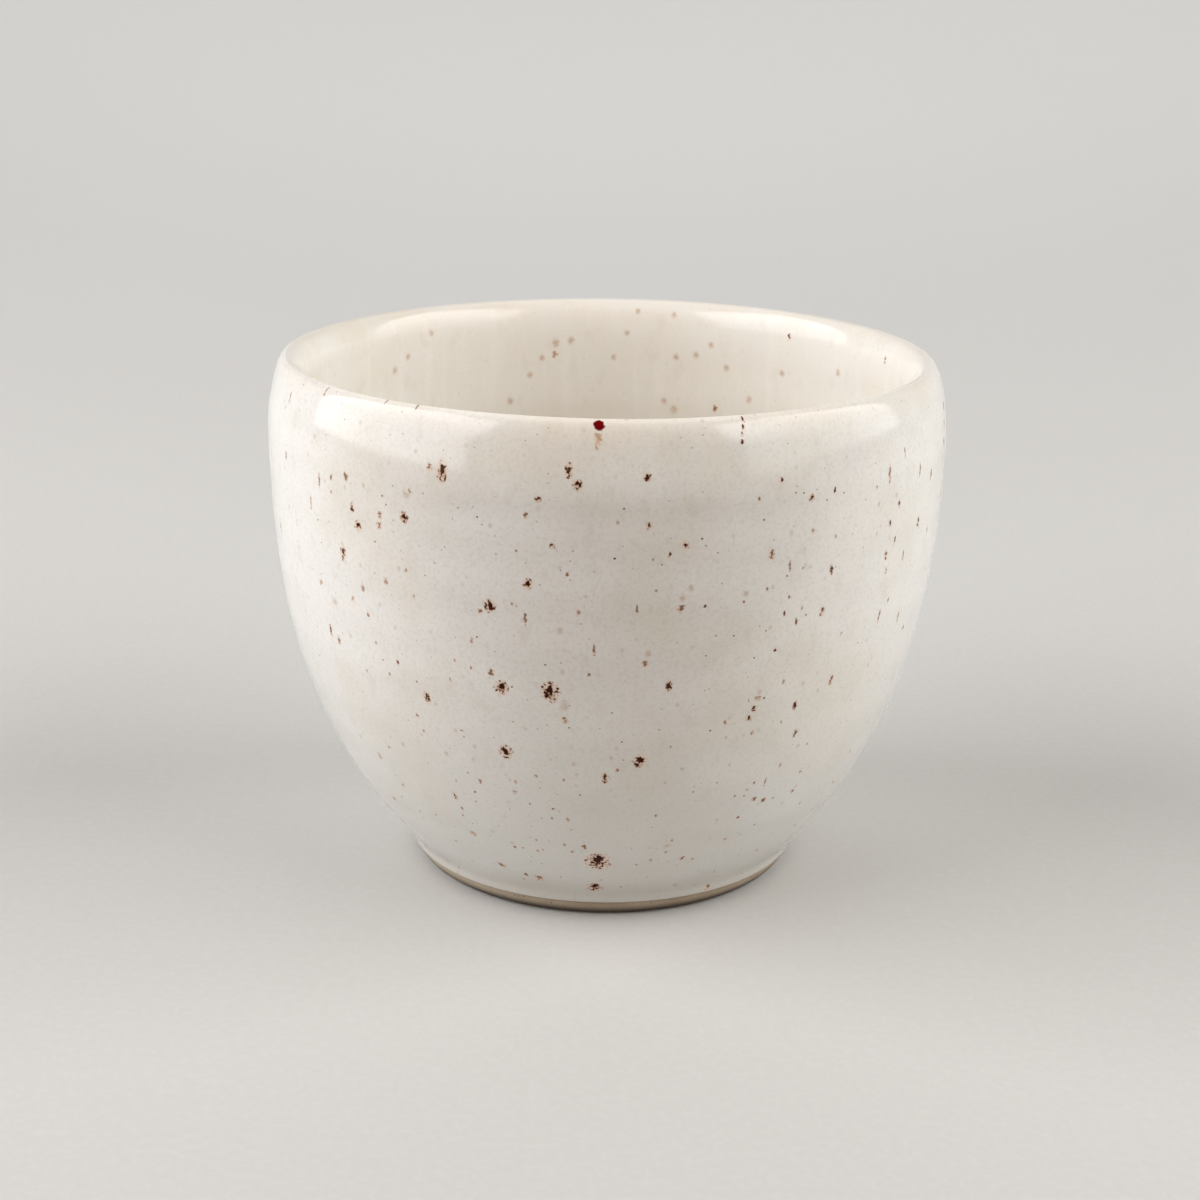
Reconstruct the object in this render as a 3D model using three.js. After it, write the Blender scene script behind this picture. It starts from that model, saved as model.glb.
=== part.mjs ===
// A small handleless coffee cup, thrown in stoneware and glazed milky white.
// The clay carries two coats of fired glaze: a liner poured inside and a coat that the outside was dipped in.
// The coats meet on the crest of the lip, and the foot stays bare below the glaze line.
// Millimetres, +Z up, with the origin on the table under the middle of the cup.

import * as THREE from "three";

// Overall form, measured over the glaze
const HEIGHT = 70; // table to the crest of the lip
const WIDEST_DIAMETER = 90; // at the line where the wall stands upright
const SHOULDER_HEIGHT = 10; // from the widest line up to the crest
const SHOULDER_DRAW = 2.6; // how far the crest is drawn in from the widest line
const LIP_TURN = 2.2; // from the crest in to the mouth
const LIP_DROP = 4.8; // from the crest down to the mouth
const WALL = 4.6; // wall at the widest line

// Foot, turned from the bare clay
const FOOT_DIAMETER = 48.6; // outer edge of the ring that the cup stands on
const FOOT_RING = 5.5; // width of that ring
const RECESS_DEPTH = 1.5; // hollow under the foot
const UNDERCUT_WIDTH = 2.1; // rounded in under the wall, from the glaze line to the ring
const UNDERCUT_HEIGHT = 2.5;
const FLOOR = 5; // clay between the hollow under the foot and the liner

// Glaze
const GLAZE = 0.4; // thickness of each coat
const BEAD_DROP = 0.25; // rounded edge where the outside coat stops above the bare clay
const SEAT = 0.02; // hairline between a coat and what it lies against

// Fullness of the curves: how far each handle reaches along the stretch that it shapes
const FLARE_RISE = 3.7; // the wall starts upright above the foot before it opens
const BELLY_FULLNESS = 0.774; // down from the widest line, as a share of the belly's height
const SHOULDER_FULLNESS = 0.44; // up from the widest line, as a share of the shoulder's height
const CREST_FULLNESS = 0.53; // out from the crest, as a share of the draw-in
const LIP_FULLNESS = 0.58; // in from the crest and up from the mouth, as a share of the turn and the drop
const BOWL_FULLNESS = 0.82; // down from the widest line inside, as a share of the bowl's depth
const BOWL_FLATNESS = 0.62; // out from the middle of the floor, as a share of the bowl's radius
const QUARTER_ROUND = 0.5523; // handle of a cubic that stands for a quarter circle
const NECK_HANDLE = 1 / 3; // handle of a cubic that runs almost straight

// Facets
const FACETS_ROUND = 60;
const BELLY_STEPS = 12;
const SHOULDER_STEPS = 6;
const LIP_STEPS = 5;
const NECK_STEPS = 2;
const BOWL_STEPS = 12;
const BEAD_STEPS = 5;
const COVE_STEPS = 3;
const UNDERCUT_STEPS = 3;

// Radii and heights that follow
const widestRadius = WIDEST_DIAMETER / 2;
const widestHeight = HEIGHT - SHOULDER_HEIGHT;
const crestRadius = widestRadius - SHOULDER_DRAW;
const mouthRadius = crestRadius - LIP_TURN;
const mouthHeight = HEIGHT - LIP_DROP;
const bowlRadius = widestRadius - WALL;
const ringRadius = FOOT_DIAMETER / 2;
const recessRadius = ringRadius - FOOT_RING;
const wallFootRadius = ringRadius + UNDERCUT_WIDTH + SEAT + GLAZE;
const bowlFloor = RECESS_DEPTH + FLOOR + SEAT + GLAZE;
const bellyHeight = widestHeight - UNDERCUT_HEIGHT;
const bowlDepth = widestHeight - bowlFloor;

const at = (radius, height) => new THREE.Vector2(radius, height);

function curve(start, startHandle, endHandle, end, steps) {
  return { bezier: new THREE.CubicBezierCurve(start, startHandle, endHandle, end), steps };
}

// The finished outline, walked with the clay on the left: up the outside, over the lip and down to the floor
const belly = curve(
  at(wallFootRadius, UNDERCUT_HEIGHT),
  at(wallFootRadius, UNDERCUT_HEIGHT + FLARE_RISE),
  at(widestRadius, widestHeight - BELLY_FULLNESS * bellyHeight),
  at(widestRadius, widestHeight),
  BELLY_STEPS,
);
const shoulder = curve(
  at(widestRadius, widestHeight),
  at(widestRadius, widestHeight + SHOULDER_FULLNESS * SHOULDER_HEIGHT),
  at(crestRadius + CREST_FULLNESS * SHOULDER_DRAW, HEIGHT),
  at(crestRadius, HEIGHT),
  SHOULDER_STEPS,
);
const lip = curve(
  at(crestRadius - SEAT, HEIGHT),
  at(crestRadius - LIP_FULLNESS * LIP_TURN, HEIGHT),
  at(mouthRadius, mouthHeight + LIP_FULLNESS * LIP_DROP),
  at(mouthRadius, mouthHeight),
  LIP_STEPS,
);
const neckHandle = NECK_HANDLE * (mouthHeight - widestHeight);
const neck = curve(
  at(mouthRadius, mouthHeight),
  at(mouthRadius, mouthHeight - neckHandle),
  at(bowlRadius, widestHeight + neckHandle),
  at(bowlRadius, widestHeight),
  NECK_STEPS,
);
const bowl = curve(
  at(bowlRadius, widestHeight),
  at(bowlRadius, widestHeight - BOWL_FULLNESS * bowlDepth),
  at(BOWL_FLATNESS * bowlRadius, bowlFloor),
  at(0, bowlFloor),
  BOWL_STEPS,
);
const outside = [belly, shoulder];
const inside = [lip, neck, bowl];

// Direction of a cubic at a share of its length, exact at both ends
function heading(bezier, share) {
  const { v0, v1, v2, v3 } = bezier;
  const rest = 1 - share;
  return new THREE.Vector2()
    .addScaledVector(v1.clone().sub(v0), rest * rest)
    .addScaledVector(v2.clone().sub(v1), 2 * rest * share)
    .addScaledVector(v3.clone().sub(v2), share * share)
    .normalize();
}

// Points along joined curves, sunk to the left of the walk by a depth
function walk(curves, depth = 0) {
  const points = [];
  for (const { bezier, steps } of curves) {
    for (let step = points.length > 0 ? 1 : 0; step <= steps; step += 1) {
      const share = step / steps;
      const along = heading(bezier, share);
      points.push(bezier.getPoint(share).add(at(-along.y, along.x).multiplyScalar(depth)));
    }
  }
  return points;
}

function turned(name, profile, material) {
  const geometry = new THREE.LatheGeometry(profile, FACETS_ROUND);
  geometry.rotateX(Math.PI / 2);
  const mesh = new THREE.Mesh(geometry, material);
  mesh.name = name;
  return mesh;
}

// Buff stoneware: hollowed foot, ring, bare undercut, then the wall and bowl that the glaze covers
function stonewareBody() {
  const coved = QUARTER_ROUND * RECESS_DEPTH;
  const cove = curve(
    at(recessRadius - RECESS_DEPTH, RECESS_DEPTH),
    at(recessRadius - RECESS_DEPTH + coved, RECESS_DEPTH),
    at(recessRadius, RECESS_DEPTH - coved),
    at(recessRadius, 0),
    COVE_STEPS,
  );
  const undercut = curve(
    at(ringRadius, 0),
    at(ringRadius + QUARTER_ROUND * UNDERCUT_WIDTH, 0),
    at(ringRadius + UNDERCUT_WIDTH, (1 - QUARTER_ROUND) * UNDERCUT_HEIGHT),
    at(ringRadius + UNDERCUT_WIDTH, UNDERCUT_HEIGHT),
    UNDERCUT_STEPS,
  );
  const profile = [
    at(0, RECESS_DEPTH),
    ...walk([cove]),
    ...walk([undercut]).slice(0, -1),
    ...walk([...outside, ...inside], GLAZE + SEAT),
  ];
  const clay = new THREE.MeshStandardMaterial({ color: 0xb89d7e, roughness: 0.85, metalness: 0 });
  return turned("stoneware_body", profile, clay);
}

// Coat poured inside: from the crest of the lip to the middle of the floor
function linerGlaze() {
  const profile = [...walk(inside, GLAZE).reverse(), ...walk(inside)];
  const glaze = new THREE.MeshStandardMaterial({ color: 0xe9e1d0, roughness: 0.18, metalness: 0 });
  return turned("liner_glaze", profile, glaze);
}

// Coat that the outside was dipped in: from the rounded edge above the bare clay to the crest of the lip
function outsideGlaze() {
  const back = wallFootRadius - GLAZE;
  const bead = curve(
    at(back, UNDERCUT_HEIGHT),
    at(back, UNDERCUT_HEIGHT - BEAD_DROP),
    at(wallFootRadius, UNDERCUT_HEIGHT - BEAD_DROP),
    at(wallFootRadius, UNDERCUT_HEIGHT),
    BEAD_STEPS,
  );
  const face = walk([bead, ...outside]);
  const profile = [...face, ...walk(outside, GLAZE).reverse()];
  const glaze = new THREE.MeshStandardMaterial({ color: 0xe8e3d8, roughness: 0.15, metalness: 0 });
  return turned("outside_glaze", profile, glaze);
}

const cup = new THREE.Group();
cup.add(stonewareBody(), linerGlaze(), outsideGlaze());

export default cup;
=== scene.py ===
"""A small handleless coffee cup: thrown stoneware, milky white glaze and the iron specks in it."""

import math
import random

import bmesh
import bpy
from mathutils import Matrix, Vector, kdtree, noise
from mathutils.bvhtree import BVHTree


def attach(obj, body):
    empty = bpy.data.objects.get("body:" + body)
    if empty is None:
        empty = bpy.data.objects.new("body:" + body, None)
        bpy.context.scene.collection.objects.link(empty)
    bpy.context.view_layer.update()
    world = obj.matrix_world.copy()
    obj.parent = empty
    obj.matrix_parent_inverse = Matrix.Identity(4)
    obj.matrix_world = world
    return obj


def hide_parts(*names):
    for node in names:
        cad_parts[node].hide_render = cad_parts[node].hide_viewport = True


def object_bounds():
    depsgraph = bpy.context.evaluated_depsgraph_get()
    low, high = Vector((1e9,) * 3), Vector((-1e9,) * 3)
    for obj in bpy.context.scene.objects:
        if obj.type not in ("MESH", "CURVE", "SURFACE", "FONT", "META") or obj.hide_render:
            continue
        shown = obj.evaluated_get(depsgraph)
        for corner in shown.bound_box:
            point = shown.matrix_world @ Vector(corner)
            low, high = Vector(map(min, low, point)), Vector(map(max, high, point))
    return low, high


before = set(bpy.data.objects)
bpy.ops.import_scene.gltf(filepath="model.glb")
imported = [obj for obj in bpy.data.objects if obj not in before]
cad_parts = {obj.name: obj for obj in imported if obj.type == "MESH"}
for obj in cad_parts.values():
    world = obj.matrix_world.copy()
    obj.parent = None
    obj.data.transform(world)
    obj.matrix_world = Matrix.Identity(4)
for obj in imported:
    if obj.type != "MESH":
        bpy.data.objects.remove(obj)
cad_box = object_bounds()

MM = 0.001  # the frame is in metres

# Camera, at the photograph's viewing angle
CAMERA_DISTANCE = 280.3 * MM  # in front of the cup's axis
CAMERA_HEIGHT = 121.9 * MM  # above the table
CAMERA_DOWN = math.radians(17.17)
CAMERA_LEFT = math.radians(0.15)
CAMERA_ROLL = math.radians(0.72)
SENSOR_WIDTH = 36.0
LENS = 63.95
PHOTO_WIDTH = 1200  # pixels, each way

# Studio
FLOOR_RADIUS = 900 * MM  # flat part of the paper
SWEEP_RADIUS = 900 * MM  # where the paper curves up all round
SWEEP_STEPS = 16
PAPER_TURNS = 96
SOFTBOX_AWAY = 800 * MM  # an upright softbox on each side of the cup, brighter above than below
SOFTBOX_BACK = 275 * MM  # its back edge, behind the cup's axis
SOFTBOX_LOWER_FRONT = -800 * MM
SOFTBOX_UPPER_FRONT = -960 * MM
SOFTBOX_FOOT = 67 * MM  # above the table
SOFTBOX_DIM = 260 * MM  # dim below this height, and bright above the next
SOFTBOX_BRIGHT = 520 * MM
SOFTBOX_STEPS = 3  # from dim to bright
SOFTBOX_TOP = 1184 * MM
LEFT_LOWER_GLOW = 2.85  # radiance
LEFT_UPPER_GLOW = 4.8
LEFT_TINT = (1.0, 0.992, 0.99)
RIGHT_LOWER_GLOW = 1.85
RIGHT_UPPER_GLOW = 4.4
RIGHT_TINT = (1.0, 0.99, 0.965)
BACKDROP_LIGHT_BEHIND = 1000 * MM
BACKDROP_LIGHT_UP = 800 * MM
BACKDROP_LIGHT_WIDTH = 2000 * MM
BACKDROP_LIGHT_DEPTH = 480 * MM
BACKDROP_GLOW = 3.1
FILL_AWAY = 900 * MM  # a dim warm light behind the camera
FILL_MIDDLE = 330 * MM  # above the table
FILL_WIDTH = 1500 * MM
FILL_HEIGHT = 460 * MM
FILL_GLOW = 0.45
FILL_TINT = (1.0, 0.5, 0.1)
PAPER_FRONT = 82 * MM  # in front of this the paper gives the cup no light

# Hand-thrown form
WELD = 0.001 * MM
CORNER = math.radians(44)  # a sharper turn of an outline stays a corner
FINEST_TURN = math.radians(2.5)  # an outline is refined until each step turns no more
FINEST_STEP = 1.4 * MM
TURNS = 216  # facets round the cup
EASED = 0.25 * MM  # wear on the clay's edges
SEAM = 0.03 * MM  # the coats run into each other over the crest within this
SWELL = 0.14 * MM  # broad unevenness of the wall
SWELL_LENGTH = 32 * MM
SWAY = 0.22 * MM  # the wall leans a little one way and back as it rises
SWAY_LENGTH = 17 * MM
RING = 0.035 * MM  # ridges left by the fingers
RING_PITCH = 6.5 * MM
LIP_WAVE = 0.16 * MM  # ups and downs of the lip
CREST = (42.4, 70.0)  # radius and height of the lip's crest in mm
SETTLED = 9 * MM  # the foot was turned true up to about here

# The two glazes: their colour, how grainy they look, how much they veil what lies deep in them,
# and the colour of the painted shade that darkens them low down, fading in between two heights in mm
LINER = {
    "body": (0.80, 0.777, 0.735, 1), "grainy": 0.35, "veiled": 0.5,
    "painted_shade": (0.72, 0.645, 0.54, 1), "painted_shade_top": 64.0, "painted_shade_full": 36.0,
}
OUTSIDE = {
    "body": (0.875, 0.863, 0.834, 1), "grainy": 1.0, "veiled": 0.28,
    "painted_shade": (0.575, 0.58, 0.565, 1), "painted_shade_top": 44.0, "painted_shade_full": 6.0,
}

# Colours that vary the glaze, and the painted shade by the foot
WARM_CLOUD = (0.75, 0.685, 0.57, 1)
COOL_PATCH = (0.80, 0.80, 0.79, 1)
MILKY_STREAK = (0.86, 0.84, 0.80, 1)
CURD = (0.58, 0.535, 0.47, 1)
STAIN = (0.55, 0.46, 0.33, 1)
THIN_LIP = (0.78, 0.64, 0.48, 1)
# painted shade by the foot, where the wall faces the shaded table
PAINTED_FOOT_SHADE = (0.42, 0.40, 0.36, 1)
TAN_DOT = (0.46, 0.34, 0.24, 1)
BROWN_DOT = (0.24, 0.14, 0.09, 1)
SPECK_HALO = (0.80, 0.58, 0.43, 1)
SPECK_VEIL = (0.50, 0.36, 0.25, 1)
SPECK_FRINGE = (0.48, 0.23, 0.10, 1)
IRON = (0.05, 0.012, 0.007, 1)
RED_IRON = (0.15, 0.002, 0.003, 1)

# Where the glaze changes, and where the painted shade by the foot begins and is full, in mm
LIP_THICK = 3.6  # from the crest of the lip, where the glaze has its full thickness
LIP_THINNEST = 0.6
FOOT_SHADE_TOP = 8.0
FOOT_SHADE_FULL = 2.5

# Bare clay
BUFF = (0.37, 0.31, 0.235, 1)
TOASTED = (0.27, 0.205, 0.14, 1)
SAND = (0.50, 0.43, 0.34, 1)
CLAY_GRAIN = (0.10, 0.06, 0.04, 1)
PAINTED_CONTACT_SHADOW = (0.05, 0.036, 0.025, 1)  # painted contact shadow on the outer edge of the foot ring by the table, between these heights and radii in mm
CONTACT_SHADOW_TOP = 1.9
CONTACT_SHADOW_FULL = 0.35
CONTACT_SHADOW_INNER = 22.8
CONTACT_SHADOW_OUTER = 24.4

# Paper of the backdrop
PAPER = (0.575, 0.566, 0.55, 1)
PAPER_PULP = (0.595, 0.586, 0.57, 1)

# Kinds of iron speck: how dark, how rusty and how drawn out downwards each is
BLOOM = (1.0, 1.0, 1.15)
RUN = (0.95, 1.0, 1.9)
RUST = (0.6, 1.0, 1.3)
FAINT = (0.32, 0.7, 1.4)
PIN = (0.85, 0.6, 1.0)
DEEP = (0.06, 0.25, 1.2)  # under the surface, blurred by the milky glaze
DROP = (1.6, 0.8, 1.0)  # a solid red bead
TEAR = (0.11, 0.85, 2.4)  # rust that ran from a bead
THREAD = (0.6, 0.7, 4.0)

# The specks that the photograph shows: the pixel where each is seen, how far it bled in mm, and its kind
SPECKS_SEEN = {
    "lip_drop": (599, 425, 0.66, DROP),
    "lip_drop_tear": (598, 439, 0.5, TEAR),
    "lip_dash_top": (743, 420, 0.25, RUN),
    "lip_dash_upper": (743, 427, 0.24, RUN),
    "lip_dash_lower": (742, 434, 0.24, RUN),
    "lip_dash_foot": (742, 441, 0.26, RUN),
    "lip_left_streak": (290, 398, 0.22, THREAD),
    "lip_left_nick": (326, 391, 0.18, THREAD),
    "lip_left_thread": (386, 402, 0.15, THREAD),
    "lip_left_dash": (417, 407, 0.17, THREAD),
    "shoulder_left_small": (429, 468, 0.42, RUST),
    "shoulder_left_bloom": (442, 471, 0.78, RUN),
    "shoulder_middle_upper": (569, 471, 0.5, RUN),
    "shoulder_middle_bloom": (577, 485, 0.62, BLOOM),
    "shoulder_middle_dot": (647, 477, 0.55, BLOOM),
    "shoulder_far_left": (346, 477, 0.5, RUST),
    "upper_left_faint": (406, 494, 0.5, DEEP),
    "upper_left_pin": (382, 496, 0.15, PIN),
    "upper_left_pin_low": (386, 505, 0.15, PIN),
    "upper_left_core": (380, 515, 0.45, BLOOM),
    "upper_left_core_foot": (379, 525, 0.45, RUST),
    "upper_left_round": (404, 517, 0.66, BLOOM),
    "upper_left_ring": (358, 526, 0.62, BLOOM),
    "upper_left_rust": (352, 508, 0.4, RUN),
    "upper_left_drop": (343, 553, 0.6, RUN),
    "upper_left_grain": (375, 542, 0.2, PIN),
    "upper_pin_a": (477, 517, 0.16, PIN),
    "upper_pin_b": (482, 524, 0.16, PIN),
    "upper_pin_c": (458, 508, 0.14, PIN),
    "upper_middle_rust": (526, 515, 0.3, RUST),
    "upper_middle_left": (538, 499, 0.45, BLOOM),
    "upper_middle_dot": (516, 551, 0.2, PIN),
    "upper_middle_low": (552, 546, 0.4, BLOOM),
    "middle_left_rust": (386, 582, 0.35, FAINT),
    "middle_left_mark": (363, 588, 0.42, FAINT),
    "middle_left_spot": (353, 599, 0.38, FAINT),
    "middle_left_edge": (335, 602, 0.5, DEEP),
    "middle_left_low": (368, 614, 0.3, RUST),
    "left_edge_streak": (331, 630, 0.42, RUN),
    "middle_bits": (528, 584, 0.66, BLOOM),
    "middle_bloom": (490, 606, 0.8, BLOOM),
    "middle_bloom_child": (480, 611, 0.36, RUST),
    "middle_upper": (649, 526, 0.42, BLOOM),
    "middle_right_upper": (685, 546, 0.55, BLOOM),
    "middle_right_a": (681, 608, 0.5, RUST),
    "middle_right_b": (705, 606, 0.24, PIN),
    "right_shoulder": (812, 498, 0.45, BLOOM),
    "right_upper": (772, 554, 0.45, RUN),
    "right_upper_outer": (831, 570, 0.36, RUN),
    "right_middle_outer": (822, 611, 0.42, RUN),
    "right_middle_inner": (784, 614, 0.24, RUN),
    "right_edge_run": (890, 474, 0.36, THREAD),
    "right_edge_dot": (899, 504, 0.36, RUN),
    "right_edge_outer": (918, 521, 0.4, RUN),
    "right_edge_low": (886, 555, 0.42, RUN),
    "right_edge_top": (931, 474, 0.4, RUN),
    "right_low_a": (775, 650, 0.28, BLOOM),
    "right_low_outer": (831, 680, 0.4, RUN),
    "right_low_inner": (795, 705, 0.4, RUN),
    "right_low_shade": (758, 697, 0.5, FAINT),
    "right_low_trail_top": (754, 708, 0.4, RUN),
    "right_low_trail": (749, 718, 0.45, BLOOM),
    "right_low_trail_end": (753, 733, 0.36, FAINT),
    "right_low_b": (795, 734, 0.36, RUN),
    "right_foot": (763, 800, 0.42, BLOOM),
    "right_foot_inner": (754, 799, 0.4, RUST),
    "low_left": (427, 697, 0.5, RUN),
    "low_left_tick": (491, 672, 0.45, RUST),
    "low_left_bits": (502, 688, 0.95, BLOOM),
    "low_left_pin": (512, 687, 0.17, PIN),
    "low_middle_bloom": (550, 692, 1.25, BLOOM),
    "low_middle_pin": (545, 665, 0.15, PIN),
    "low_middle_rust": (589, 675, 0.22, RUST),
    "low_middle_shade": (565, 706, 0.6, DEEP),
    "low_middle_trail": (565, 720, 0.45, RUST),
    "middle_faint": (560, 631, 0.4, DEEP),
    "low_right_shade": (648, 654, 0.36, DEEP),
    "low_right_run": (645, 664, 0.4, RUST),
    "low_right_bits": (669, 686, 0.45, RUN),
    "lower_left_bloom": (506, 752, 0.95, BLOOM),
    "lower_left_rust": (516, 782, 0.26, RUST),
    "lower_left_spot": (480, 781, 0.36, RUST),
    "lower_left_far": (455, 796, 0.4, RUN),
    "lower_edge_left": (394, 798, 0.5, FAINT),
    "lower_middle_bloom": (640, 761, 0.9, BLOOM),
    "lower_middle_grain": (605, 778, 0.46, RUN),
    "lower_middle_pin": (553, 809, 0.26, PIN),
    "lower_pair": (584, 847, 0.38, RUST),
    "foot_large": (598, 862, 1.75, BLOOM),
    "foot_under": (595, 887, 1.05, BLOOM),
    "foot_left_dash": (502, 865, 0.6, RUST),
    "foot_left_comma": (539, 878, 0.66, RUST),
    "foot_left_faint": (515, 847, 0.24, RUST),
    "foot_left_high": (473, 833, 0.5, FAINT),
    "foot_right": (707, 887, 0.5, RUST),
    "foot_right_faint": (667, 846, 0.45, DEEP),
    "left_edge_high": (286, 455, 0.3, RUN),
    "left_edge_long": (281, 528, 0.3, THREAD),
    "left_edge_streak_foot": (339, 640, 0.34, RUN),
    "left_edge_tan": (321, 582, 0.4, FAINT),
    "far_left_streak": (319, 480, 0.24, THREAD),
    "far_left_rust": (331, 477, 0.3, RUST),
    "far_left_low": (311, 502, 0.24, THREAD),
    "far_left_dot": (331, 492, 0.2, FAINT),
    "far_left_pin": (318, 520, 0.16, PIN),
    "upper_left_tan": (410, 493, 0.36, FAINT),
    "left_pair_a": (406, 570, 0.26, FAINT),
    "left_pair_b": (414, 597, 0.26, FAINT),
    "left_low_dark": (398, 663, 0.26, RUN),
    "left_low_pin": (383, 660, 0.16, PIN),
    "left_low_tan_a": (376, 643, 0.24, FAINT),
    "left_low_tan_b": (367, 671, 0.26, FAINT),
    "left_low_tan_c": (390, 674, 0.2, FAINT),
    "left_low_dash": (417, 682, 0.2, RUST),
    "left_low_below": (417, 715, 0.26, RUST),
    "middle_left_pin": (459, 508, 0.14, PIN),
    "middle_pins": (512, 604, 0.2, FAINT),
    "middle_streak": (525, 618, 0.24, THREAD),
    "middle_streak_right": (594, 650, 0.22, THREAD),
    "middle_tan": (578, 613, 0.36, FAINT),
    "middle_tan_low": (472, 640, 0.3, FAINT),
    "middle_tan_pin": (477, 637, 0.14, PIN),
    "middle_small": (567, 574, 0.24, RUST),
    "middle_small_right": (615, 559, 0.18, PIN),
    "low_left_tan_a": (450, 680, 0.24, FAINT),
    "low_left_tan_b": (455, 661, 0.22, FAINT),
    "low_left_small": (471, 668, 0.2, RUST),
    "low_left_rust": (462, 732, 0.3, RUST),
    "upper_right_dot": (624, 509, 0.2, PIN),
    "upper_right_tan": (618, 523, 0.22, FAINT),
    "right_trio_dash": (670, 555, 0.22, RUN),
    "right_trio_tip": (662, 565, 0.16, PIN),
    "right_trio_faint": (653, 560, 0.18, FAINT),
    "right_pins_a": (702, 539, 0.16, PIN),
    "right_pins_b": (706, 546, 0.14, PIN),
    "right_pins_c": (718, 553, 0.14, PIN),
    "right_smudge_top": (691, 588, 0.36, DEEP),
    "right_smudge": (683, 598, 0.4, DEEP),
    "right_tan_a": (656, 591, 0.18, FAINT),
    "right_tan_b": (637, 610, 0.18, THREAD),
    "right_high_dash": (782, 480, 0.22, RUN),
    "right_high_dot": (759, 499, 0.24, RUST),
    "right_high_pin": (764, 520, 0.17, PIN),
    "right_shoulder_pin_a": (796, 493, 0.14, PIN),
    "right_shoulder_pin_b": (804, 493, 0.14, PIN),
    "right_shoulder_dot": (835, 490, 0.22, RUN),
    "right_shoulder_pin_c": (844, 493, 0.14, PIN),
    "right_shoulder_low": (827, 500, 0.14, PIN),
    "right_edge_high": (905, 452, 0.2, THREAD),
    "right_edge_second": (920, 470, 0.26, THREAD),
    "right_edge_third": (927, 529, 0.3, RUN),
    "right_edge_small": (890, 523, 0.24, RUN),
    "right_edge_smaller": (895, 539, 0.2, RUN),
    "right_edge_tan": (879, 504, 0.28, FAINT),
    "right_edge_upper": (877, 487, 0.2, RUST),
    "right_edge_smear": (886, 570, 0.36, FAINT),
    "right_edge_tan_streak": (903, 556, 0.22, THREAD),
    "right_tan_c": (813, 531, 0.28, FAINT),
    "right_tan_d": (836, 537, 0.26, FAINT),
    "right_dot": (803, 568, 0.2, PIN),
    "right_trail": (790, 566, 0.2, THREAD),
    "right_trail_dot": (787, 576, 0.2, PIN),
    "right_trail_low": (789, 597, 0.18, RUST),
    "right_small_a": (767, 589, 0.18, RUST),
    "right_grey": (746, 594, 0.4, DEEP),
    "right_small_b": (744, 602, 0.18, RUST),
    "right_dash": (796, 622, 0.26, RUN),
    "right_dash_dot": (806, 615, 0.18, PIN),
    "right_dash_tan": (802, 608, 0.24, FAINT),
    "right_low_edge_a": (879, 616, 0.24, THREAD),
    "right_low_edge_b": (898, 616, 0.24, THREAD),
    "right_low_edge_c": (903, 627, 0.28, RUN),
    "right_low_edge_d": (888, 600, 0.24, FAINT),
    "right_low_tan": (841, 634, 0.22, FAINT),
    "right_low_pin_a": (766, 631, 0.15, PIN),
    "right_low_pin_b": (754, 658, 0.15, PIN),
    "right_low_pin_c": (716, 636, 0.15, PIN),
    "right_low_pin_d": (734, 636, 0.15, PIN),
    "right_low_pin_e": (706, 656, 0.15, PIN),
    "right_low_smear": (784, 682, 0.32, FAINT),
    "right_low_grey": (759, 692, 0.36, DEEP),
    "right_low_pin_f": (764, 698, 0.16, PIN),
    "right_low_pair": (725, 722, 0.3, RUST),
    "lower_right_tan": (780, 765, 0.26, FAINT),
    "lower_right_streak": (765, 782, 0.2, THREAD),
    "lower_right_rust": (792, 791, 0.28, RUST),
    "lower_right_edge": (795, 825, 0.28, RUST),
    "lower_middle_small": (617, 770, 0.26, RUST),
    "lower_left_small": (462, 808, 0.22, RUST),
    "lower_left_pin": (436, 815, 0.17, PIN),
    "lower_left_tan": (456, 841, 0.26, FAINT),
    "lower_pair_left": (565, 845, 0.3, RUST),
    "lower_right_pair": (667, 842, 0.34, RUST),
    "lower_right_dashes": (682, 858, 0.36, RUST),
    "lower_right_dashes_end": (692, 859, 0.26, RUST),
    "lower_right_faint": (725, 839, 0.28, FAINT),
    "lower_right_high": (738, 817, 0.3, RUST),
    "foot_left_second": (526, 874, 0.34, RUST),
    "foot_right_edge": (772, 855, 0.3, RUST),
    "foot_right_grey": (675, 885, 0.4, DEEP),
    "low_left_fleck": (424, 731, 0.24, FAINT),
    "low_left_rust_foot": (464, 737, 0.16, PIN),
    "low_left_edge_dot": (389, 747, 0.2, FAINT),
    "low_left_edge_tan": (380, 756, 0.4, FAINT),
    "low_left_edge_deep": (403, 744, 0.3, DEEP),
    "low_left_deep": (447, 754, 0.34, DEEP),
    "low_left_pin_right": (513, 722, 0.13, PIN),
    "lower_left_below": (475, 792, 0.22, RUST),
    "lower_left_above": (468, 773, 0.2, FAINT),
    "lower_left_outer": (456, 781, 0.2, FAINT),
    "lower_left_under": (476, 802, 0.18, FAINT),
    "lower_left_twin": (515, 792, 0.32, FAINT),
    "lower_left_inner": (536, 776, 0.22, FAINT),
    "lower_left_grain": (530, 804, 0.17, PIN),
    "lower_left_comma": (463, 816, 0.28, FAINT),
    "lower_left_edge_a": (420, 811, 0.22, FAINT),
    "lower_left_edge_b": (424, 819, 0.24, FAINT),
    "lower_left_edge_c": (403, 785, 0.26, FAINT),
    "lower_left_edge_d": (402, 797, 0.2, FAINT),
    "lower_middle_under": (552, 818, 0.22, FAINT),
    "lower_middle_tan": (568, 820, 0.26, FAINT),
    "lower_middle_fleck": (580, 795, 0.18, FAINT),
    "lower_middle_left": (564, 780, 0.2, FAINT),
    "lower_middle_deep": (574, 764, 0.24, DEEP),
    "lower_middle_high": (569, 728, 0.14, PIN),
    "foot_left_dash_end": (523, 848, 0.22, RUST),
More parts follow.
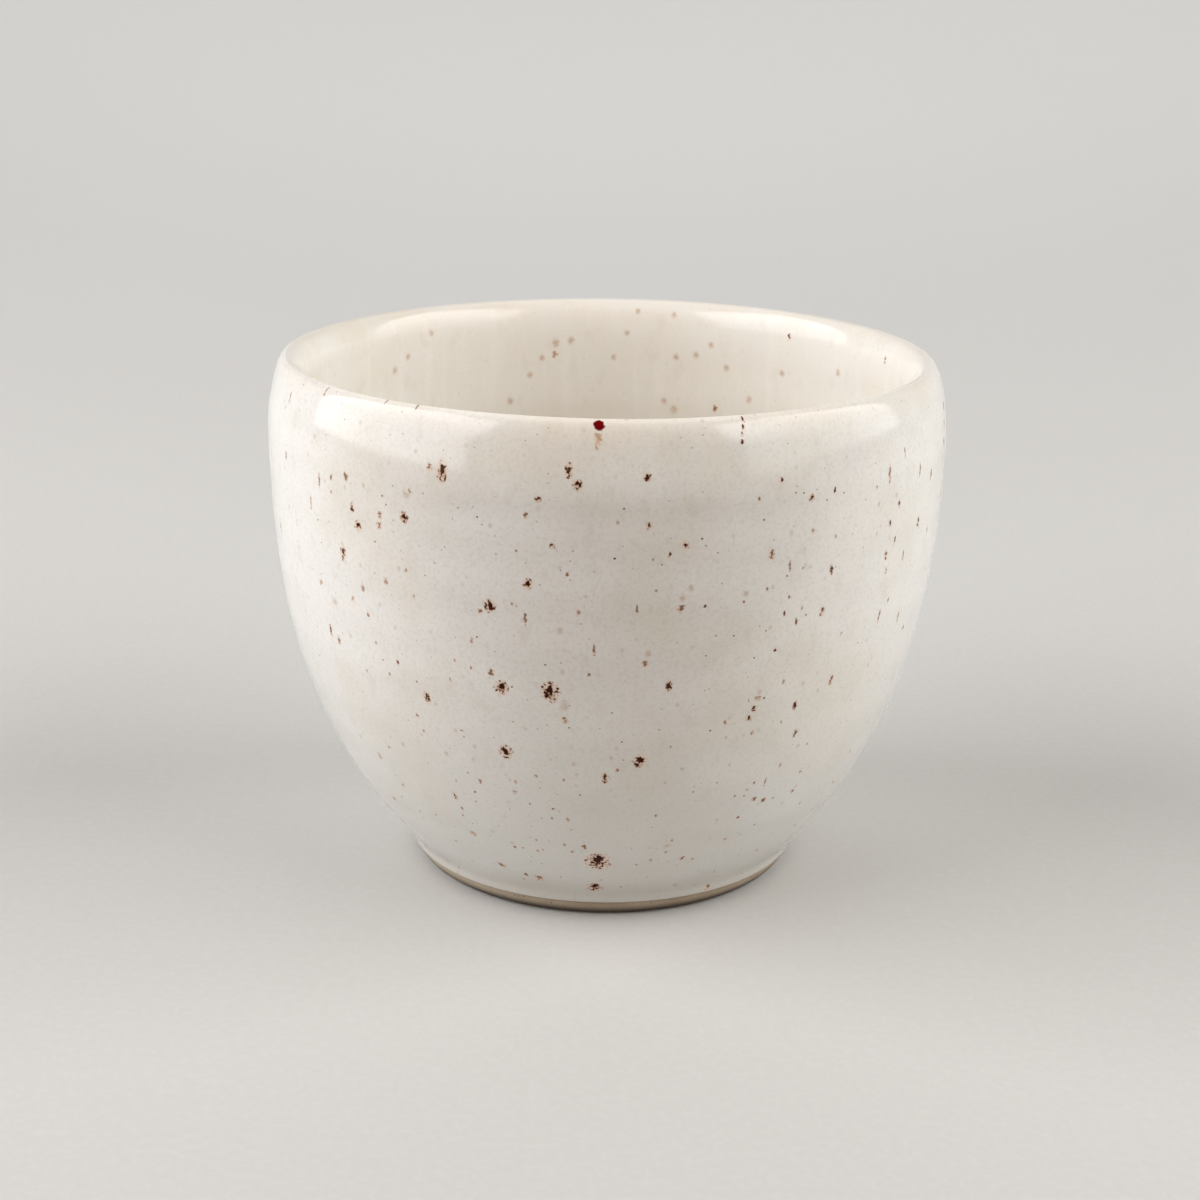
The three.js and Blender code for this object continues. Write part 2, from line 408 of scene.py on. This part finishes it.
    "foot_left_tan": (538, 851, 0.26, FAINT),
    "foot_left_tan_end": (543, 850, 0.18, FAINT),
    "foot_left_tan_high": (536, 840, 0.2, FAINT),
    "foot_left_pair_end": (572, 852, 0.22, RUST),
    "foot_left_third": (524, 879, 0.26, FAINT),
    "foot_left_pin": (561, 877, 0.14, PIN),
    "foot_left_edge_a": (447, 860, 0.32, FAINT),
    "foot_left_edge_b": (459, 868, 0.26, FAINT),
    "foot_left_edge_c": (472, 861, 0.24, DEEP),
    "lower_pin_a": (612, 713, 0.14, PIN),
    "lower_pin_b": (622, 742, 0.13, PIN),
    "lower_pin_c": (659, 730, 0.15, PIN),
    "lower_pin_d": (710, 731, 0.18, PIN),
    "lower_pin_e": (717, 783, 0.15, PIN),
    "lower_pin_f": (693, 792, 0.13, PIN),
    "lower_deep_a": (611, 758, 0.24, DEEP),
    "lower_deep_b": (682, 769, 0.24, DEEP),
    "lower_deep_c": (665, 783, 0.22, DEEP),
    "lower_tan_a": (671, 747, 0.18, FAINT),
    "lower_tan_b": (726, 738, 0.24, FAINT),
    "lower_tan_c": (781, 722, 0.18, FAINT),
    "lower_tan_d": (807, 744, 0.2, FAINT),
    "lower_right_edge_high": (850, 751, 0.28, RUST),
    "lower_right_edge_dot": (833, 782, 0.28, RUST),
    "lower_right_edge_streak": (812, 809, 0.28, RUST),
    "lower_right_second": (800, 772, 0.24, RUST),
    "lower_right_trail": (754, 783, 0.22, RUST),
    "lower_right_trail_pin": (744, 796, 0.19, PIN),
    "lower_right_trail_end": (735, 796, 0.18, RUST),
    "lower_right_trail_tan": (747, 790, 0.18, FAINT),
    "lower_right_fleck_a": (773, 798, 0.2, FAINT),
    "lower_right_fleck_b": (782, 803, 0.22, FAINT),
    "lower_right_fleck_c": (800, 803, 0.2, FAINT),
    "lower_right_low": (754, 825, 0.24, FAINT),
    "lower_right_dot": (717, 820, 0.19, FAINT),
    "lower_right_inner": (656, 816, 0.22, RUST),
    "foot_right_dash": (757, 850, 0.32, RUST),
    "foot_right_pair_high": (672, 840, 0.26, FAINT),
    "foot_right_pair_low": (666, 852, 0.26, FAINT),
    "foot_right_inner": (651, 860, 0.28, FAINT),
    "foot_right_innermost": (636, 865, 0.2, FAINT),
    "foot_right_tan": (714, 872, 0.2, FAINT),
    "foot_right_low": (621, 887, 0.17, FAINT),
    "inside_far_left": (395, 370, 0.45, DEEP),
    "inside_left_low": (408, 357, 0.42, DEEP),
    "inside_left_high": (431, 333, 0.42, DEEP),
    "inside_left_deep": (510, 401, 0.5, DEEP),
    "inside_left_middle": (530, 375, 0.42, DEEP),
    "inside_left_trio_foot": (542, 358, 0.4, DEEP),
    "inside_left_trio": (555, 354, 0.5, FAINT),
    "inside_left_trio_middle": (556, 343, 0.55, DEEP),
    "inside_left_trio_top": (571, 340, 0.5, DEEP),
    "inside_middle": (614, 357, 0.4, DEEP),
    "inside_middle_high": (627, 333, 0.4, DEEP),
    "inside_middle_top": (638, 311, 0.38, DEEP),
    "inside_middle_deep": (664, 401, 0.45, DEEP),
    "inside_middle_deepest": (674, 410, 0.55, DEEP),
    "inside_right_top": (674, 315, 0.38, DEEP),
    "inside_right_a": (676, 357, 0.42, DEEP),
    "inside_right_b": (696, 355, 0.42, DEEP),
    "inside_right_c": (711, 345, 0.42, DEEP),
    "inside_right_d": (726, 368, 0.45, DEEP),
    "inside_right_deep_dark": (715, 409, 0.5, RUST),
    "inside_right_deep": (749, 400, 0.5, DEEP),
    "inside_right_middle": (782, 373, 0.45, DEEP),
    "inside_right_streak": (789, 337, 0.32, RUN),
    "inside_far_right": (838, 373, 0.45, DEEP),
    "inside_edge_streak": (885, 360, 0.36, RUN),
}

# Specks on the sides that the photograph does not show
UNSEEN_OUTSIDE = 190
UNSEEN_INSIDE = 80
SEEN_BEARING = math.radians(74)  # to each side of the camera
SEEN_INSIDE = 48 * MM  # the far wall shows down to about here
MIDDLE = Vector((0, 0, 45 * MM))  # of the bowl
UNSEEN_HEIGHTS = (4, 66)  # mm above the table
BOWL_RADII = (6, 40)  # mm from the axis, where the specks inside are aimed
WELL_OUTSIDE = 100 * MM  # from the axis
UNSEEN_KINDS = {BLOOM: 24, RUN: 12, RUST: 30, PIN: 18, DEEP: 16}  # how common each kind is
UNSEEN_REACH = (0.3, 0.7)  # mm
PIN_REACH = (0.14, 0.2)
BLOOM_SPREAD = (1.0, 1.8)  # how much wider a bloom has bled than the others
SPECK_SEED = 11


class Wire:
    """A value or colour on its way through a material: arithmetic on it adds the nodes that work it out."""

    def __init__(self, tree, socket):
        self.tree = tree
        self.socket = socket

    def node(self, kind, settings, inputs, output=0):
        """Any other node: its settings first, then its sockets by name or number."""
        made = self.tree.nodes.new(kind)
        for name, value in settings.items():
            setattr(made, name, value)
        for key, value in inputs.items():
            if isinstance(value, Wire):
                self.tree.links.new(value.socket, made.inputs[key])
            else:
                made.inputs[key].default_value = value
        return Wire(self.tree, made.outputs[output])

    def maths(self, operation, *operands):
        """A Math node, or a Vector Math node where any operand is a vector or colour."""
        wired = any(isinstance(one, Wire) and one.socket.type != "VALUE" for one in operands)
        many = wired or any(isinstance(one, tuple) for one in operands)
        kind = "ShaderNodeVectorMath" if many else "ShaderNodeMath"
        spread = [(one,) * 3 if many and isinstance(one, (int, float)) else one for one in operands]
        return self.node(kind, {"operation": operation}, dict(enumerate(spread)))

    def __add__(self, other):
        return self.maths("ADD", self, other)

    def __radd__(self, other):
        return self.maths("ADD", other, self)

    def __sub__(self, other):
        return self.maths("SUBTRACT", self, other)

    def __rsub__(self, other):
        return self.maths("SUBTRACT", other, self)

    def __mul__(self, other):
        return self.maths("MULTIPLY", self, other)

    def __rmul__(self, other):
        return self.maths("MULTIPLY", other, self)

    def __truediv__(self, other):
        return self.maths("DIVIDE", self, other)

    def __rtruediv__(self, other):
        return self.maths("DIVIDE", other, self)


def length(vector):
    return vector.node("ShaderNodeVectorMath", {"operation": "LENGTH"}, {0: vector}, "Value")


def fade(value, nothing, full):
    """0 where the value reaches nothing, 1 where it reaches full, with a soft step between."""
    return value.node(
        "ShaderNodeMapRange", {"interpolation_type": "SMOOTHSTEP"},
        {"Value": value, "From Min": nothing, "From Max": full},
    )


def mottle(place, scale, detail=2.0, roughness=0.5):
    return place.node(
        "ShaderNodeTexNoise", {"noise_dimensions": "3D"},
        {"Vector": place, "Scale": scale, "Detail": detail, "Roughness": roughness}, "Fac",
    )


def cells(place, scale, output):
    return place.node("ShaderNodeTexVoronoi", {"feature": "F1"}, {"Vector": place, "Scale": scale}, output)


def paint(under, over, share):
    """One colour laid over another."""
    return share.node(
        "ShaderNodeMix", {"data_type": "RGBA"}, {"Factor": share, 6: under, 7: over}, 2,
    )


def split(vector):
    return [vector.node("ShaderNodeSeparateXYZ", {}, {0: vector}, axis) for axis in "XYZ"]


def join(x, y, z):
    wire = next(one for one in (x, y, z) if isinstance(one, Wire))
    return wire.node("ShaderNodeCombineXYZ", {}, {0: x, 1: y, 2: z})


def new_finish(name):
    """A material, its shader and the place on the piece in millimetres."""
    material = bpy.data.materials.new(name)
    material.use_nodes = True
    tree = material.node_tree
    shader = tree.nodes["Principled BSDF"]
    place = Wire(tree, tree.nodes.new("ShaderNodeTexCoord").outputs["Object"]) * (1 / MM)
    return material, shader, place


def wear(shader, **inputs):
    """Sets or links a shader's sockets."""
    for name, value in inputs.items():
        socket = shader.inputs[name.replace("_", " ")]
        if isinstance(value, Wire):
            value.tree.links.new(value.socket, socket)
        else:
            socket.default_value = value


def relief(place, height, depth):
    """A fine surface relief, with its depth in metres."""
    return place.node("ShaderNodeBump", {}, {"Height": height, "Strength": 1.0, "Distance": depth})


def attribute(place, name, output):
    return place.node("ShaderNodeAttribute", {"attribute_name": name}, {}, output)


def iron(place):
    """The iron specks of a glaze: their halo, fringe and veil, how much is iron, and how red it is."""
    centre = attribute(place, "speck_centre", "Vector") * (1 / MM)
    look = attribute(place, "speck_look", "Color")
    reach, dark, rusty = [look.node("ShaderNodeSeparateColor", {}, {0: look}, band) for band in range(3)]
    drawn = attribute(place, "speck_look", "Alpha")
    grain = mottle(place, 2.6, 1.5)
    ragged = mottle(place, 1.6, 1.0) - 0.5
    x, y, z = split(place)
    centre_x, centre_y, centre_z = split(centre)
    # How far the place is from the speck's centre, round the cup and up or down, in reaches of the speck
    sideways = (centre_x * y - centre_y * x) / length(join(centre_x, centre_y, 0.0))
    offset = length(place - centre)
    downways = offset.maths("SQRT", offset * offset - sideways * sideways)
    away = length(join(sideways, downways / drawn, 0.0)) / reach + ragged * 0.8
    within = fade(away, 1.15, 0.85)
    halo = fade(away, 1.4, 0.3) * rusty
    # Grains of iron that thin out towards the edge
    lumps = grain - 0.24 * away
    fringe = fade(lumps, 0.24, 0.42) * within * rusty
    veil = fade(away, 1.7, 0.0) * fade(dark, 0.1, 0.06)
    # The core sits a little above the centre, and fills more of a pin or a drop
    core_reach = fade(reach, 0.32, 0.12) * 0.4 + 0.34 + fade(dark, 1.0, 1.6) * 0.95
    higher = (z - centre_z) / drawn - 0.25 * reach
    core = fade((length(join(sideways, higher, 0.0)) / reach + ragged * 0.6) / core_reach, 1.1, 0.7)
    bits = fade(lumps, 0.39, 0.47)
    metal = core.maths("MAXIMUM", core, bits) * within * dark.maths("MINIMUM", dark, 1.0)
    return halo, fringe, veil, metal, fade(dark, 1.0, 1.5)


def dots(place, scale, size):
    """Round dots of uneven strength, with their size as a share of their spacing."""
    away = cells(place, scale, "Distance")
    lot = Wire(away.tree, away.socket.node.outputs["Color"])
    return fade(away, size, size * 0.4) * lot.node("ShaderNodeSeparateColor", {}, {0: lot})


def glaze_finish(name, body, grainy, veiled, painted_shade, painted_shade_top, painted_shade_full):
    """Milky gloss glaze with iron specks, thin and warm over the lip, with painted shade darkening it low
    down and by the foot.
    """
    material, shader, place = new_finish(name)
    x, y, z = split(place)
    crest_radius, crest_height = CREST
    from_axis = length(join(x, y, 0.0))
    from_crest = length(join(from_axis - crest_radius, z - crest_height, 0.0))
    cloud = mottle(place, 0.06, 3.0)
    streak = mottle(join(x, y, z * 0.12), 0.4, 2.0)
    patch = mottle(place, 0.13, 2.0)
    curdle = mottle(place, 2.2, 3.0, 0.7)
    colour = paint(body, WARM_CLOUD, fade(cloud, 0.45, 0.72) * 0.42)
    colour = paint(colour, COOL_PATCH, fade(patch, 0.5, 0.72) * 0.3)
    colour = paint(colour, MILKY_STREAK, fade(streak, 0.5, 0.7) * 0.34)
    colour = paint(colour, CURD, fade(curdle, 0.44, 0.72) * (0.28 * grainy))
    stain = fade(mottle(join(x, y, z * 0.7), 0.34, 2.0), 0.56, 0.75)
    colour = paint(colour, STAIN, stain * 0.12)
    thin = fade(from_crest + (patch - 0.5) * 5.0, LIP_THICK, LIP_THINNEST)
    colour = paint(colour, THIN_LIP, thin * 0.18)
    # Painted shade: the wall is darkened low down, where less light reaches it
    colour = paint(colour, painted_shade, fade(z + (patch - 0.5) * 12.0, painted_shade_top, painted_shade_full) * 0.65)
    # Painted shade: the wall is darkened just above the foot, close to the shaded table
    foot = fade(z + (patch - 0.5) * 4.0, FOOT_SHADE_TOP, FOOT_SHADE_FULL)
    colour = paint(colour, PAINTED_FOOT_SHADE, foot * 0.5)
    colour = paint(colour, TAN_DOT, dots(join(x, y, z * 0.8), 0.45, 0.17) * (0.36 * grainy))
    colour = paint(colour, BROWN_DOT, dots(place, 0.8, 0.11) * (0.9 * grainy))
    halo, fringe, veil, metal, red = iron(place)
    colour = paint(colour, SPECK_HALO, halo * 0.5)
    colour = paint(colour, SPECK_VEIL, veil * veiled)
    colour = paint(colour, SPECK_FRINGE, fringe * 0.65)
    wear(
        shader,
        Base_Color=colour,
        Roughness=0.07 + 0.07 * mottle(place, 0.2, 3.0),
        IOR=1.45,
        Normal=relief(place, mottle(place, 0.6, 2.0), 0.012 * MM),
    )
    tree = material.node_tree
    speck = tree.nodes.new("ShaderNodeBsdfPrincipled")
    wear(
        speck,
        Base_Color=paint(IRON, RED_IRON, red),
        Roughness=0.45,
        Specular_IOR_Level=0.02,
    )
    both = tree.nodes.new("ShaderNodeMixShader")
    tree.links.new(metal.socket, both.inputs["Fac"])
    tree.links.new(shader.outputs["BSDF"], both.inputs[1])
    tree.links.new(speck.outputs["BSDF"], both.inputs[2])
    tree.links.new(both.outputs["Shader"], tree.nodes["Material Output"].inputs["Surface"])
    return material


def clay_finish(name):
    """Bare fired buff clay: sandy, matt and a little toasted, with a painted contact shadow along the
    ring's edge.
    """
    material, shader, place = new_finish(name)
    toast = mottle(place, 0.12, 3.0)
    sand = mottle(place, 2.6, 3.0, 0.7)
    colour = paint(BUFF, TOASTED, fade(toast, 0.42, 0.72) * 0.6)
    colour = paint(colour, SAND, fade(sand, 0.55, 0.7) * 0.4)
    grains = fade(cells(place, 1.1, "Distance"), 0.16, 0.08)
    colour = paint(colour, CLAY_GRAIN, grains * 0.7)
    x, y, z = split(place)
    # Painted contact shadow: the ring's outer edge is darkened close to the table
    low = fade(z, CONTACT_SHADOW_TOP, CONTACT_SHADOW_FULL)
    outermost = fade(length(join(x, y, 0.0)), CONTACT_SHADOW_INNER, CONTACT_SHADOW_OUTER)
    colour = paint(colour, PAINTED_CONTACT_SHADOW, low * outermost)
    wear(
        shader,
        Base_Color=colour,
        Roughness=0.78 + 0.2 * sand,
        Normal=relief(place, sand, 0.08 * MM),
    )
    return material


def paper_finish(name):
    material, shader, place = new_finish(name)
    pulp = mottle(place, 0.9, 4.0, 0.6)
    colour = paint(PAPER, PAPER_PULP, fade(pulp, 0.4, 0.7))
    wear(shader, Base_Color=colour, Roughness=0.92 + 0.05 * pulp)
    return material


def place_camera():
    data = bpy.data.cameras.new("camera")
    data.sensor_width = SENSOR_WIDTH
    data.lens = LENS
    data.clip_start = 10 * MM
    camera = bpy.data.objects.new("camera", data)
    bpy.context.scene.collection.objects.link(camera)
    camera.matrix_world = (
        Matrix.Translation((0, -CAMERA_DISTANCE, CAMERA_HEIGHT))
        @ Matrix.Rotation(CAMERA_LEFT, 4, "Z")
        @ Matrix.Rotation(math.pi / 2 - CAMERA_DOWN, 4, "X")
        @ Matrix.Rotation(CAMERA_ROLL, 4, "Z")
    )
    bpy.context.scene.camera = camera
    return camera


def new_piece(name, body, finish):
    """A smooth mesh object made from a bmesh, with one material."""
    mesh = bpy.data.meshes.new(name)
    body.to_mesh(mesh)
    body.free()
    mesh.materials.append(finish)
    mesh.polygons.foreach_set("use_smooth", [True] * len(mesh.polygons))
    mesh.set_sharp_from_angle(angle=CORNER)
    piece = bpy.data.objects.new(name, mesh)
    bpy.context.scene.collection.objects.link(piece)
    return piece


def turn(outline, turns):
    """A body of revolution about Z from (radius, height) points."""
    body = bmesh.new()
    points = [body.verts.new((radius, 0, height)) for radius, height in outline]
    edges = [body.edges.new(pair) for pair in zip(points, points[1:])]
    bmesh.ops.spin(
        body, geom=points + edges, cent=(0, 0, 0), axis=(0, 0, 1), dvec=(0, 0, 0),
        angle=2 * math.pi, steps=turns, use_merge=True, use_duplicate=False,
    )
    bmesh.ops.remove_doubles(body, verts=body.verts, dist=WELD)
    bmesh.ops.recalc_face_normals(body, faces=body.faces)
    return body


def cad_outline(node):
    """Half of a CAD node's section at Y 0, walked from point to point as (radius, height)."""
    solid = bmesh.new()
    solid.from_mesh(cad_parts[node].data)
    bmesh.ops.remove_doubles(solid, verts=solid.verts, dist=WELD)
    half = {v for v in solid.verts if abs(v.co.y) < WELD and v.co.x > -WELD}
    beside = {v: [e.other_vert(v) for e in v.link_edges if e.other_vert(v) in half] for v in half}
    start = min(half, key=lambda v: (len(beside[v]), v.co.z))
    walked = [start]
    while True:
        onward = [v for v in beside[walked[-1]] if v not in walked]
        if not onward:
            break
        walked.append(onward[0])
    outline = [Vector((max(v.co.x, 0), v.co.z)) for v in walked]
    if len(beside[start]) > 1:
        outline.append(outline[0].copy())
    solid.free()
    return outline


def refined(outline):
    """The same outline in finer steps: curved through its points, straight into its corners."""
    closed = (outline[0] - outline[-1]).length < WELD

    def tangent(index):
        before = outline[index - 1] if index > 0 else (outline[-2] if closed else None)
        after = outline[index + 1] if index + 1 < len(outline) else (outline[1] if closed else None)
        if before is None or after is None:
            return None
        arriving = outline[index] - before
        leaving = after - outline[index]
        if arriving.angle(leaving) > CORNER:
            return None
        return (arriving + leaving).normalized()

    fine = [outline[0]]
    for index in range(len(outline) - 1):
        start, end = outline[index], outline[index + 1]
        chord = end - start
        leave = tangent(index) or chord.normalized()
        arrive = tangent(index + 1) or chord.normalized()
        steps = math.ceil(max(leave.angle(arrive) / FINEST_TURN, chord.length / FINEST_STEP, 1))
        for step in range(1, steps + 1):
            t = step / steps
            fine.append(
                start * (2 * t**3 - 3 * t**2 + 1)
                + leave * chord.length * (t**3 - 2 * t**2 + t)
                + end * (3 * t**2 - 2 * t**3)
                + arrive * chord.length * (t**3 - t**2)
            )
    return fine


def thrown(spot):
    """Where the potter's hands left a point of the true turned form."""
    out = Vector((spot.x, spot.y, 0)).normalized()
    bearing = math.atan2(spot.y, spot.x)
    free = min(spot.z / SETTLED, 1) ** 2
    swell = SWELL * noise.noise(spot / SWELL_LENGTH)
    wander = noise.noise(Vector((bearing, 0, spot.z / RING_PITCH)))
    ring = RING * math.sin(2 * math.pi * spot.z / RING_PITCH + bearing + 2 * wander)
    sway = SWAY * noise.noise(Vector((3.7, 1.3, spot.z / SWAY_LENGTH)))
    wave = LIP_WAVE * noise.noise(out * 1.4) * (spot.z / cad_box[1][2]) ** 3
    return spot + (out * (swell + ring) + Vector((sway, 0, wave))) * free


def thrown_body(node):
    """A CAD node as the wheel left it."""
    outline = refined(cad_outline(node))
    crest = max(point.y for point in outline)
    for point in outline:
        point.y = max(point.y, 0)
        if abs(point.y - crest) < WELD:
            point.x = round(point.x / SEAM) * SEAM
    body = turn(outline, TURNS)
    if node == "stoneware_body":
        edges = [edge for edge in body.edges if edge.is_manifold and edge.calc_face_angle() > CORNER]
        bmesh.ops.bevel(
            body, geom=edges, offset=EASED, offset_type="OFFSET", segments=3, profile=0.5,
            affect="EDGES", material=-1,
        )
    for vert in body.verts:
        vert.co = thrown(vert.co)
    return body


def surface(piece):
    mesh = piece.data
    return BVHTree.FromPolygons([v.co for v in mesh.vertices], [p.vertices for p in mesh.polygons])


def seen_specks(camera, skins):
    """Each photographed speck, on the first skin that its pixel's line of sight meets."""
    found = {name: [] for name in skins}
    eye = camera.matrix_world.translation
    ahead = PHOTO_WIDTH * LENS / SENSOR_WIDTH  # the focal length in pixels
    for across, down, reach, kind in SPECKS_SEEN.values():
        sight = Vector((across - PHOTO_WIDTH / 2, PHOTO_WIDTH / 2 - down, -ahead))
        sight = camera.matrix_world.to_3x3() @ sight.normalized()
        hits = [(skin.ray_cast(eye, sight), name) for name, skin in skins.items()]
        hits = [(hit[3], name, hit[0]) for hit, name in hits if hit[0]]
        if hits:
            _, name, spot = min(hits, key=lambda hit: hit[0])
            found[name].append((spot, reach, *kind))
    return found


def unseen_specks(skin, count, inside, chance):
    """More specks of the same kinds, all round the cup."""
    scattered = []
    while len(scattered) < count:
        bearing = chance.uniform(-math.pi, math.pi)
        height = chance.uniform(*UNSEEN_HEIGHTS) * MM
        out = Vector((math.sin(bearing), -math.cos(bearing), 0))
        if inside:
            aim = out * chance.uniform(*BOWL_RADII) * MM + Vector((0, 0, height))
            hit = skin.ray_cast(MIDDLE, aim - MIDDLE)
        else:
            hit = skin.ray_cast(out * WELL_OUTSIDE + Vector((0, 0, height)), -out)
        if not hit[0]:
            continue
        if inside:
            seen = abs(bearing) > SEEN_BEARING and hit[0].z > SEEN_INSIDE
        else:
            seen = abs(bearing) < SEEN_BEARING
        if seen:
            continue
        kind = chance.choices(list(UNSEEN_KINDS), list(UNSEEN_KINDS.values()))[0]
        reach = chance.uniform(*(PIN_REACH if kind == PIN else UNSEEN_REACH))
        if kind == BLOOM:
            reach *= chance.uniform(*BLOOM_SPREAD)
        scattered.append((hit[0], reach, *kind))
    return scattered


def speckle(piece, specks):
    """Tells each facet which speck lies nearest to it."""
    tree = kdtree.KDTree(len(specks))
    for index, speck in enumerate(specks):
        tree.insert(speck[0], index)
    tree.balance()
    mesh = piece.data
    centres, looks = [], []
    for facet in mesh.polygons:
        near = tree.find_n(facet.center, 4)
        _, index, _ = min(near, key=lambda one: one[2] - specks[one[1]][1] * MM)
        spot, *look = specks[index]
        centres.extend(spot)
        looks.extend(look)
    mesh.attributes.new("speck_centre", "FLOAT_VECTOR", "FACE").data.foreach_set("vector", centres)
    mesh.attributes.new("speck_look", "FLOAT_COLOR", "FACE").data.foreach_set("color", looks)


def set_stage():
    outline = [(0, 0), (FLOOR_RADIUS, 0)]
    for step in range(1, SWEEP_STEPS + 1):
        bend = math.pi / 2 * step / SWEEP_STEPS
        outline.append((
            FLOOR_RADIUS + SWEEP_RADIUS * math.sin(bend),
            SWEEP_RADIUS * (1 - math.cos(bend)),
        ))
    paper = turn(outline, PAPER_TURNS)
    bmesh.ops.reverse_faces(paper, faces=paper.faces)
    front = paper.copy()
    for half, kept in ((paper, lambda y: y > -PAPER_FRONT), (front, lambda y: y <= -PAPER_FRONT)):
        bmesh.ops.bisect_plane(
            half, geom=half.verts[:] + half.edges[:] + half.faces[:],
            plane_co=(0, -PAPER_FRONT, 0), plane_no=(0, 1, 0),
        )
        gone = [face for face in half.faces if not kept(face.calc_center_median().y)]
        bmesh.ops.delete(half, geom=gone, context="FACES")
    finish = paper_finish("paper")
    dim = new_piece("paper_towards_camera", front, finish)
    dim.visible_diffuse = False
    dim.visible_glossy = False
    new_piece("paper_sweep", paper, finish)


def area_light(name, place, aim, width, height, glow):
    """A soft rectangle of one radiance."""
    data = bpy.data.lights.new(name, "AREA")
    data.shape = "RECTANGLE"
    data.size = width
    data.size_y = height
    data.energy = glow * math.pi * width * height
    lamp = bpy.data.objects.new(name, data)
    bpy.context.scene.collection.objects.link(lamp)
    lamp.location = place
    lamp.rotation_mode = "QUATERNION"
    lamp.rotation_quaternion = Vector(aim).to_track_quat("-Z", "Y")
    lamp.visible_camera = False
    return lamp


def light_studio():
    """Two upright softboxes, a light on the backdrop and a dim warm fill behind the camera."""
    world = bpy.data.worlds.new("studio_air")
    world.use_nodes = True
    world.node_tree.nodes["Background"].inputs["Color"].default_value = (0, 0, 0, 1)
    bpy.context.scene.world = world
    rise = SOFTBOX_BRIGHT - SOFTBOX_DIM
    edges = [SOFTBOX_DIM + rise * step / SOFTBOX_STEPS for step in range(SOFTBOX_STEPS + 1)]
    edges = [SOFTBOX_FOOT, *edges, SOFTBOX_TOP]
    for name, side, dim, bright, tint in (
        ("softbox_left", -1, LEFT_LOWER_GLOW, LEFT_UPPER_GLOW, LEFT_TINT),
        ("softbox_right", 1, RIGHT_LOWER_GLOW, RIGHT_UPPER_GLOW, RIGHT_TINT),
    ):
        for step, (low, high) in enumerate(zip(edges, edges[1:])):
            share = step / (SOFTBOX_STEPS + 1)
            front = SOFTBOX_LOWER_FRONT + (SOFTBOX_UPPER_FRONT - SOFTBOX_LOWER_FRONT) * share
            middle = (side * SOFTBOX_AWAY, (SOFTBOX_BACK + front) / 2, (low + high) / 2)
            glow = dim + (bright - dim) * share
            box = area_light(
                f"{name}_{step}", middle, (-side, 0, 0), SOFTBOX_BACK - front, high - low, glow,
            )
            box.data.color = tint
    backdrop = area_light(
        "backdrop_light", (0, BACKDROP_LIGHT_BEHIND, BACKDROP_LIGHT_UP), (0, 0, -1),
        BACKDROP_LIGHT_WIDTH, BACKDROP_LIGHT_DEPTH, BACKDROP_GLOW,
    )
    backdrop.visible_glossy = False
    fill = area_light(
        "warm_fill", (0, -FILL_AWAY, FILL_MIDDLE), (0, 1, 0), FILL_WIDTH, FILL_HEIGHT, FILL_GLOW,
    )
    fill.data.color = FILL_TINT
    bpy.context.scene.view_settings.view_transform = "Standard"


camera = place_camera()
set_stage()
light_studio()

finishes = {
    "stoneware_body": ("stoneware", clay_finish("buff_stoneware")),
    "liner_glaze": ("liner_glaze", glaze_finish("liner_glaze", **LINER)),
    "outside_glaze": ("outside_glaze", glaze_finish("outside_glaze", **OUTSIDE)),
}
pieces = {}
for node, (slot, finish) in finishes.items():
    pieces[node] = new_piece("thrown_" + node, thrown_body(node), finish)
    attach(pieces[node], "root")
    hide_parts(node)

chance = random.Random(SPECK_SEED)
skins = {node: surface(pieces[node]) for node in ("outside_glaze", "liner_glaze")}
specks = seen_specks(camera, skins)
specks["outside_glaze"] += unseen_specks(skins["outside_glaze"], UNSEEN_OUTSIDE, False, chance)
specks["liner_glaze"] += unseen_specks(skins["liner_glaze"], UNSEEN_INSIDE, True, chance)
for node, coat_specks in specks.items():
    speckle(pieces[node], coat_specks)
